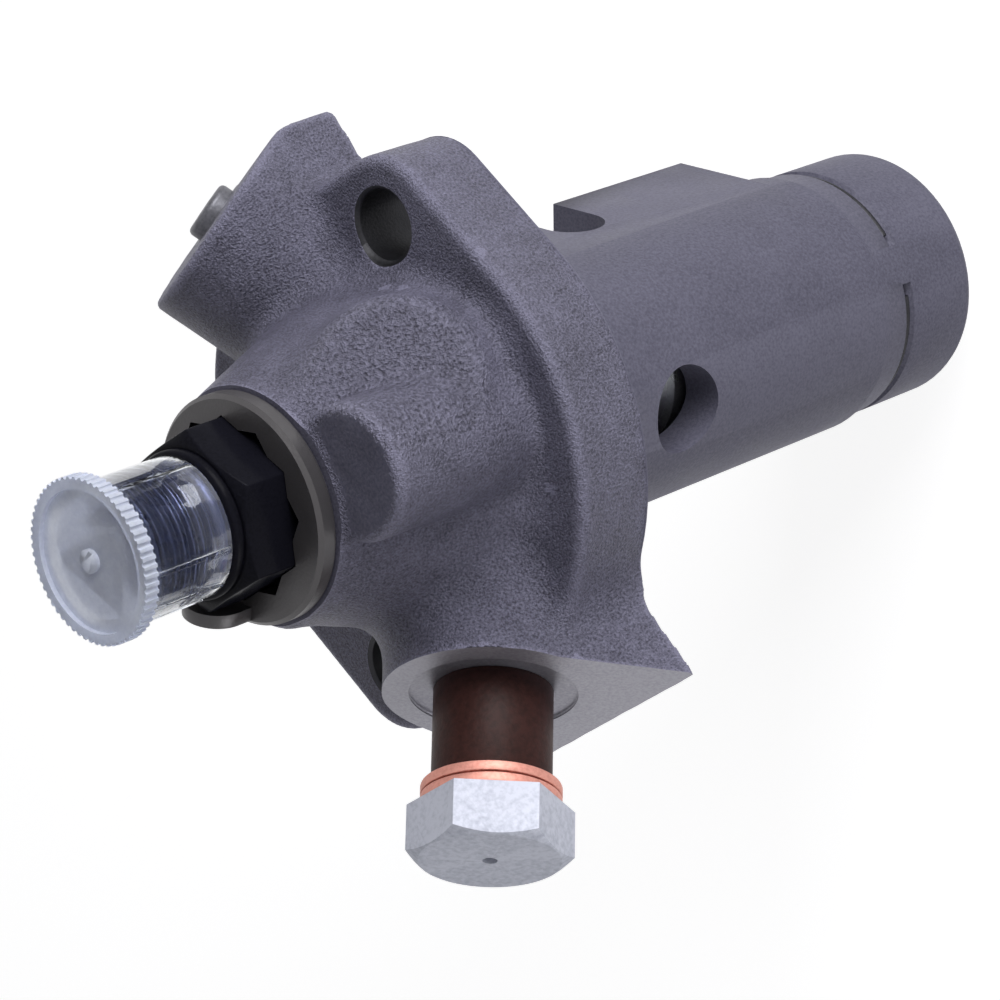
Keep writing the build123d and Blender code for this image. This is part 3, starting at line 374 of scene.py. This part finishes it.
def from_packed(name, finish=0):
    """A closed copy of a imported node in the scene's own axes."""
    packed = frame["nodes"][name]
    work = bmesh.new()
    work.from_mesh(packed.data)
    work.transform(packed.matrix_world)
    bmesh.ops.remove_doubles(work, verts=work.verts, dist=1e-7)
    return from_bmesh(name + "_shown", work, finish)


def placed(place):
    """A frame as a matrix in metres."""
    origin, across, up, out = place
    return Matrix([[a, b, c, o * MM] for a, b, c, o in zip(across, up, out, origin)] + [[0, 0, 0, 1]])


def rod(radius, foot, top):
    """The profile of a cylinder, or of a prism where the lathe has few steps."""
    return [(0, foot), (radius, foot), (radius, top), (0, top)]


def lathe(name, profile, place, finish=0, steps=96):
    """A closed solid of revolution; its profile of (radius, height) starts and ends on the axis."""
    work = bmesh.new()
    rings = []
    for radius, height in profile:
        angles = [2 * pi * i / steps for i in range(steps if radius else 1)]
        points = [(radius * MM * cos(a), radius * MM * sin(a), height * MM) for a in angles]
        rings.append([work.verts.new(point) for point in points])
    for lower, upper in zip(rings, rings[1:]):
        for i in range(steps):
            corners = (lower[i % len(lower)], lower[(i + 1) % len(lower)])
            corners += (upper[(i + 1) % len(upper)], upper[i % len(upper)])
            work.faces.new(dict.fromkeys(corners))
    work.transform(placed(place))
    return from_bmesh(name, work, finish)


def block(name, low, high, place, finish=0):
    """A box between two corners of a frame, in millimetres."""
    work = bmesh.new()
    bmesh.ops.create_cube(work, size=1)
    middle = [(a + b) / 2 * MM for a, b in zip(low, high)]
    sides = [(b - a) * MM for a, b in zip(low, high)]
    work.transform(placed(place) @ Matrix.Translation(middle) @ Matrix.Diagonal((*sides, 1)))
    return from_bmesh(name, work, finish)


def bake(target):
    """Applies an object's modifiers."""
    graph = bpy.context.evaluated_depsgraph_get()
    mesh = bpy.data.meshes.new_from_object(target.evaluated_get(graph), depsgraph=graph)
    target.modifiers.clear()
    target.data = mesh


def combine(target, other, operation):
    """Joins, cuts or trims the target with the other solid, which is used up. Both keep their faces' indices."""
    for held in (target, other):
        while len(held.data.materials) < FINISH_COUNT:
            held.data.materials.append(None)
    step = target.modifiers.new("combine", "BOOLEAN")
    step.operation = operation
    step.object = other
    step.solver = "MANIFOLD"
    bake(target)
    bpy.data.objects.remove(other)


def bevel(target, width):
    """Rounds an object's sharp edges by a width in millimetres."""
    target.modifiers.new("weld", "WELD").merge_threshold = WELD_GAP
    rounding = target.modifiers.new("bevel", "BEVEL")
    rounding.width = width * MM
    rounding.segments = BEVEL_SEGMENTS
    rounding.limit_method = "ANGLE"
    rounding.angle_limit = radians(BEVEL_ANGLE)


def smooth(target, angle):
    """Shades smooth, apart from edges sharper than the angle."""
    target.data.shade_smooth()
    target.data.set_sharp_from_angle(angle=radians(angle))


# Housing: the casting's field made into a mesh
ticks = [np.arange(a, b, STEP, dtype=np.float32) for a, b in zip(FIELD_LOW, FIELD_HIGH)]
grid = openvdb.FloatGrid(STEP)
grid.copyFromArray(cast_field(*np.meshgrid(*ticks, indexing="ij")).astype(np.float32))
points, quads = grid.convertToQuads(0.0)
mesh = bpy.data.meshes.new("housing")
mesh.from_pydata((points * STEP + FIELD_LOW) * MM, [], quads.tolist())
work = bmesh.new()
work.from_mesh(mesh)
housing = from_bmesh("housing", work)

# Guide body, with its slots and grooves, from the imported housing
guide = from_packed("pump_housing", MACHINED)
below = block("below", (-60, -60, -100), (60, 60, GUIDE_OVERLAP), UPRIGHT, MACHINED)
combine(guide, below, "INTERSECT")

# Machined faces and bores
for name, low, high, place, finish in (
    ("underside", (-60, -60, -10), (60, 60, 0), UPRIGHT, MACHINED),
    ("neck top", (-40, -40, NECK_TOP), (40, 40, 50), UPRIGHT, MACHINED),
    # The inlet face is milled, and its lighter colour is partly painted light
    ("inlet face", (-40, -30, 0), (40, 30, 20), INLET, MILLED_AND_LIT),
):
    combine(housing, block(name, low, high, place, finish), "DIFFERENCE")
combine(housing, guide, "UNION")
bolt_places = [standing(side_frame(ear, 0.0, BOLT_PITCH_RADIUS)[0]) for ear in (EAR_ANGLE, EAR_ANGLE + 180)]
# The bore and bolt holes take the last index, whose near-black is painted shade on their walls
for name, profile, place, finish in (
    ("bore", BORE, UPRIGHT, PAINTED_SHADE),
    ("spot face", SPOT_FACE, INLET, MILLED_AND_LIT),
    ("plug spot", PLUG_SPOT, PLUG, MACHINED),
    ("bolt hole", BOLT_HOLE, bolt_places[0], PAINTED_SHADE),
    ("far bolt hole", BOLT_HOLE, bolt_places[1], PAINTED_SHADE),
):
    combine(housing, lathe(name, profile, place, finish), "DIFFERENCE")
for face in housing.data.polygons:
    centre = face.center / MM
    if centre.z > LUG_TOP - FACED_TOP_DEPTH and face.normal.z > FACED_TOP_NORMAL:
        face.material_index = MACHINED
    u, v, w = local(DISC, *centre)
    if w > -DISC_FACE_DEPTH and np.hypot(u, v) < DISC_RADIUS and face.material_index == CAST:
        face.material_index = COARSE
smooth(housing, angle=32)
housing.modifiers.new("normals", "WEIGHTED_NORMAL").keep_sharp = True

# Valve holder: a corner of its hexagon points along X, and its union is threaded
holder = from_packed("valve_holder")
combine(holder, block("above", (-20, -20, HOLDER_FOOT), (20, 20, 70), UPRIGHT), "DIFFERENCE")
hexagon = lathe("hexagon", rod(HEX_CORNER_RADIUS, HEX_FOOT, HEX_TOP), HEXAGON, steps=6)
combine(hexagon, lathe("crown", CROWN, UPRIGHT), "INTERSECT")
bevel(hexagon, HEX_BEVEL)
bake(hexagon)
combine(holder, hexagon, "UNION")
combine(holder, lathe("collar", COLLAR, UPRIGHT), "UNION")
thread = [(0, UNION_FOOT), (UNION_RADIUS, UNION_FOOT)]
for turn in range(THREAD_TURNS):
    foot = THREAD_FOOT + THREAD_PITCH * turn
    thread += [(UNION_RADIUS - depth, foot + rise) for depth, rise in THREAD_GROOVE]
thread += [(UNION_RADIUS - UNION_TAPER, UNION_TOP), (0, UNION_TOP)]
combine(holder, lathe("thread", thread, UPRIGHT, BLUED), "UNION")
combine(holder, lathe("passage", PASSAGE, UPRIGHT, BLUED), "DIFFERENCE")
smooth(holder, angle=25)

# Lock ring: its outside lies a little off centre, and its tab is bent up against a flat
ring = lathe("lock_ring_shown", RING, standing(np.array([*RING_OFFSET, 0])))
for place in (UPRIGHT, HEXAGON):
    combine(ring, lathe("hole", rod(RING_HOLE_RADIUS, 30, 40), place, steps=6), "DIFFERENCE")
tab_low = (-TAB_HALF_WIDTH, TAB_FOOT, 0)
tab_high = (TAB_HALF_WIDTH, TAB_SHOULDER, TAB_THICKNESS)
tab = block("tab", tab_low, tab_high, side_frame(TAB_AT, 0.0, TAB_REACH))
tip = lathe("tip", rod(TAB_HALF_WIDTH, 0, TAB_THICKNESS), side_frame(TAB_AT, TAB_SHOULDER, TAB_REACH))
combine(tab, tip, "UNION")
bevel(tab, TAB_BEVEL)
bake(tab)
combine(ring, tab, "UNION")
bevel(ring, RING_BEVEL)
bake(ring)
smooth(ring, angle=35)

# Transit cap: a frosted disc on a clear tube with raised edges
cap = from_packed("transit_cap")
for azimuth in CAP_RIBS:
    rib = block("rib", RIB_LOW, RIB_HIGH, side_frame(azimuth, 0.0, CAP_TUBE_RADIUS))
    combine(cap, rib, "UNION")
for face in cap.data.polygons:
    if face.center.z > CAP_DISC_FOOT * MM:
        face.material_index = FROSTED
smooth(cap, angle=25)


def node(tree, kind, **inputs):
    """Adds a node of that kind; each named input takes a value or another node's output."""
    added = tree.nodes.new(kind)
    for key, value in inputs.items():
        socket = added.inputs[key.replace("_", " ")]
        if isinstance(value, bpy.types.NodeSocket):
            tree.links.new(value, socket)
        else:
            socket.default_value = value
    return added


def calculated(tree, operation, a, b, clamp=False):
    """Two outputs put through a Math node."""
    added = tree.nodes.new("ShaderNodeMath")
    added.operation = operation
    added.use_clamp = clamp
    tree.links.new(a, added.inputs[0])
    tree.links.new(b, added.inputs[1])
    return added.outputs[0]


def mapped(tree, source, low, high, span=NOISE_RANGE):
    """An output's values over a span, mapped to low to high."""
    ends = {"From_Min": span[0], "From_Max": span[1], "To_Min": low, "To_Max": high}
    return node(tree, "ShaderNodeMapRange", Value=source, **ends).outputs["Result"]


def mixed(tree, dark, light, share):
    """A colour between two, by a share."""
    tint = node(tree, "ShaderNodeMix")
    tint.data_type = "RGBA"
    colours = [socket for socket in tint.inputs if socket.type == "RGBA"]
    for socket, colour in zip(colours, (dark, light)):
        socket.default_value = (*colour, 1)
    tree.links.new(share, tint.inputs["Factor"])
    return [socket for socket in tint.outputs if socket.type == "RGBA"][0]


def material(name, colour, metallic, roughness, **more):
    """A material with its main shader set; more holds other inputs of that shader."""
    made = bpy.data.materials.new(name)
    made.use_nodes = True
    shader = made.node_tree.nodes["Principled BSDF"]
    shader.inputs["Base Color"].default_value = (*colour, 1)
    shader.inputs["Metallic"].default_value = metallic
    shader.inputs["Roughness"].default_value = roughness
    for key, value in more.items():
        shader.inputs[key.replace("_", " ")].default_value = value
    return made


def weathered(name, dark, light, metallic, rough, grains, relief, edge_highlight=0.0, **more):
    """A metal or plastic with a fine relief, specks between two colours, uneven gloss and edges lightened as a
    painted highlight.

    grains is their number in a metre, and relief is their depth in metres.
    """
    made = material(name, dark, metallic, rough[0], **more)
    tree = made.node_tree
    shader = tree.nodes["Principled BSDF"]
    place = node(tree, "ShaderNodeTexCoord").outputs["Object"]
    fine, patches = (
        node(tree, "ShaderNodeTexNoise", Vector=place, Scale=scale, Detail=detail, Roughness=NOISE_ROUGHNESS)
        .outputs["Fac"]
        for scale, detail in ((grains, GRAIN_DETAIL), (grains / PATCH_GRAINS, PATCH_DETAIL))
    )
    bump = node(tree, "ShaderNodeBump", Strength=1.0, Distance=relief, Height=fine)
    tree.links.new(bump.outputs["Normal"], shader.inputs["Normal"])
    tree.links.new(mapped(tree, patches, *rough), shader.inputs["Roughness"])
    # Painted highlight: sharp edges, found by their pointiness, take the lighter colour
    edges = node(tree, "ShaderNodeNewGeometry").outputs["Pointiness"]
    share = mapped(tree, fine, 0.0, SPECK_SHARE)
    share = calculated(tree, "ADD", share, mapped(tree, edges, 0.0, edge_highlight, EDGE_HIGHLIGHT_RANGE), clamp=True)
    share = calculated(tree, "ADD", share, mapped(tree, patches, *CLOUD_SHARE), clamp=True)
    tree.links.new(mixed(tree, dark, light, share), shader.inputs["Base Color"])
    return made


cast = weathered(
    "cast", CAST_DARK, CAST_LIGHT,
    metallic=0.12, rough=(0.4, 0.5), grains=3400, relief=0.0004, edge_highlight=0.6, Specular_IOR_Level=0.25,
)
machined = weathered(
    "machined", (0.075, 0.073, 0.105), (0.135, 0.132, 0.18),
    metallic=0.15, rough=(0.45, 0.58), grains=2600, relief=0.00005, edge_highlight=0.3, Specular_IOR_Level=0.15,
)
coarse = weathered(
    "coarse", CAST_DARK, CAST_LIGHT,
    metallic=0.2, rough=(0.33, 0.43), grains=2400, relief=0.0007, edge_highlight=0.5, Specular_IOR_Level=0.3,
)
# Milled faces: a real finish, with a lighter colour that is partly painted light for faces turned towards the
# lamps
milled_and_lit = weathered(
    "milled_and_lit", (0.22, 0.215, 0.26), (0.34, 0.335, 0.38),
    metallic=0.6, rough=(0.35, 0.45), grains=2600, relief=0.00003, edge_highlight=0.3,
)
steel = weathered(
    "steel", (0.42, 0.43, 0.45), (0.55, 0.56, 0.58),
    metallic=0.9, rough=(0.25, 0.35), grains=3000, relief=0.00002, edge_highlight=0.2,
)
black = weathered(
    "black", (0.003, 0.003, 0.005), (0.007, 0.007, 0.011),
    metallic=0.0, rough=(0.2, 0.3), grains=2500, relief=0.00002, edge_highlight=0.6, Specular_IOR_Level=0.03,
)
blued = weathered(
    "blued", (0.02, 0.027, 0.07), (0.05, 0.06, 0.13),
    metallic=0.5, rough=(0.2, 0.35), grains=2500, relief=0.00002, edge_highlight=0.5,
)
# Near-black steel for the clip and the dark-steel parts; on the housing it is painted shade on the walls of the
# bore and bolt holes
dark = weathered(
    "dark", (0.01, 0.01, 0.012), (0.025, 0.025, 0.03),
    metallic=0.6, rough=(0.35, 0.5), grains=3000, relief=0.00003, edge_highlight=0.5,
)
burnished = weathered(
    "burnished", (0.03, 0.028, 0.03), (0.07, 0.066, 0.07),
    metallic=0.4, rough=(0.32, 0.45), grains=2500, relief=0.00003, edge_highlight=1.0,
)
satin = weathered(
    "satin", (0.2, 0.2, 0.21), (0.3, 0.3, 0.31),
    metallic=0.8, rough=(0.3, 0.42), grains=3000, relief=0.00002, edge_highlight=0.3,
)
clear = weathered(
    "clear", (0.9, 0.94, 1.0), (1.0, 1.0, 1.0),
    metallic=0.0, rough=(0.03, 0.1), grains=900, relief=0.00002, Transmission_Weight=1.0,
)
frosted = weathered(
    "frosted", (0.66, 0.7, 0.84), (0.78, 0.82, 0.94),
    metallic=0.0, rough=(0.55, 0.65), grains=1500, relief=0.00003, edge_highlight=0.4, Transmission_Weight=0.5,
)
brown = weathered(
    "brown", (0.015, 0.006, 0.005), (0.036, 0.013, 0.011),
    metallic=0.0, rough=(0.4, 0.55), grains=1200, relief=0.00005, edge_highlight=0.3, Specular_IOR_Level=0.12,
)
zinc = weathered(
    "zinc", (0.33, 0.345, 0.41), (0.5, 0.515, 0.59),
    metallic=0.45, rough=(0.6, 0.7), grains=1500, relief=0.00003, edge_highlight=0.5,
)
copper = weathered(
    "copper", (0.46, 0.18, 0.14), (0.66, 0.3, 0.24),
    metallic=0.6, rough=(0.5, 0.6), grains=1800, relief=0.00004, edge_highlight=0.5,
)
plain = weathered(
    "plain", (0.06, 0.06, 0.07), (0.13, 0.13, 0.15),
    metallic=0.5, rough=(0.35, 0.5), grains=2500, relief=0.00003, edge_highlight=0.5,
)

# Which finish each of the record's material slots takes, and the nodes that take another one
FINISHES = {
    "cast_iron_blasted": cast,
    "ground_steel": steel,
    "spring_steel": satin,
    "dark_steel": dark,
    "bronze": copper,
    "copper": copper,
    "black_oxide": black,
    "satin_steel": burnished,
    "clear_plastic": clear,
    "brown_plastic": brown,
    "zinc_plate": zinc,
}
OWN_FINISHES = {"retaining_clip": dark, "plug_washer": plain, "gallery_plug": plain}
for part in frame["record"]["subparts"]:
    finish = OWN_FINISHES.get(part["node"], FINISHES[part["material_slot"]])
    for place in frame["nodes"][part["node"]].material_slots:
        place.material = finish

for name, width in ROUNDED:
    bevel(frame["nodes"][name], width)


def show(piece, node_name, finishes):
    """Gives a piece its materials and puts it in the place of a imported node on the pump's body."""
    while len(piece.data.materials) < len(finishes):
        piece.data.materials.append(None)
    for index, finish in enumerate(finishes):
        piece.data.materials[index] = finish
    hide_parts(node_name)
    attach(piece, "pump")


show(housing, "pump_housing", (cast, machined, coarse, milled_and_lit, dark))
show(holder, "valve_holder", (black, blued))
show(ring, "lock_ring", (burnished,))
show(cap, "transit_cap", (clear, frosted))

# Springs, each shown as its own copy of its imported node
for name, joint, fixed_end, travel in SPRINGS:
    spring = from_packed(name)
    smooth(spring, angle=40)
    show(spring, name, (satin,))
    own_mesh(spring)


def level(tree, low, high):
    """A strength that is high for rays from the camera, reflections and transmissions, and low for the rest."""
    path = node(tree, "ShaderNodeLightPath").outputs
    seen = path["Is Camera Ray"]
    for other in ("Is Glossy Ray", "Is Transmission Ray"):
        seen = calculated(tree, "MAXIMUM", seen, path[other])
    return mapped(tree, seen, low, high, span=(0, 1))


# Floor, which also glows where it is seen, so that the object's shadow on it is faint
bpy.ops.mesh.primitive_plane_add(size=FLOOR_SIZE, location=(0, 0, FLOOR_LEVEL))
floor = bpy.context.object
floor.name = "floor"
paint = material("floor", FLOOR_COLOUR, 0.0, FLOOR_ROUGHNESS, Emission_Color=(1, 1, 1, 1))
glow = paint.node_tree.nodes["Principled BSDF"].inputs["Emission Strength"]
paint.node_tree.links.new(level(paint.node_tree, 0.0, FLOOR_GLOW), glow)
floor.data.materials.append(paint)

# World: white where it is seen, a plain level for the rest
world = bpy.data.worlds.new("studio")
bpy.context.scene.world = world
world.use_nodes = True
sky = world.node_tree.nodes["Background"]
sky.inputs["Color"].default_value = (1, 1, 1, 1)
world.node_tree.links.new(level(world.node_tree, WORLD_LEVEL, 1.0), sky.inputs["Strength"])


def softbox(name, place, side, power):
    """A square area lamp that faces the pump."""
    lamp = bpy.data.lights.new(name, "AREA")
    lamp.shape = "RECTANGLE"
    lamp.size = lamp.size_y = side
    lamp.energy = power
    held = bpy.data.objects.new(name, lamp)
    bpy.context.scene.collection.objects.link(held)
    held.location = place
    held.rotation_euler = (-Vector(place)).to_track_quat("-Z", "Y").to_euler()


softbox("key", *KEY)
softbox("fill", *FILL)

camera = bpy.data.objects.new("camera", bpy.data.cameras.new("camera"))
bpy.context.scene.collection.objects.link(camera)
camera.location = CAMERA_PLACE
camera.rotation_euler = [radians(a) for a in CAMERA_TURN]
camera.data.lens = CAMERA_LENS
camera.data.sensor_width = CAMERA_SENSOR
camera.data.clip_start = CAMERA_CLIP
bpy.context.scene.camera = camera
bpy.context.scene.view_settings.view_transform = "Standard"
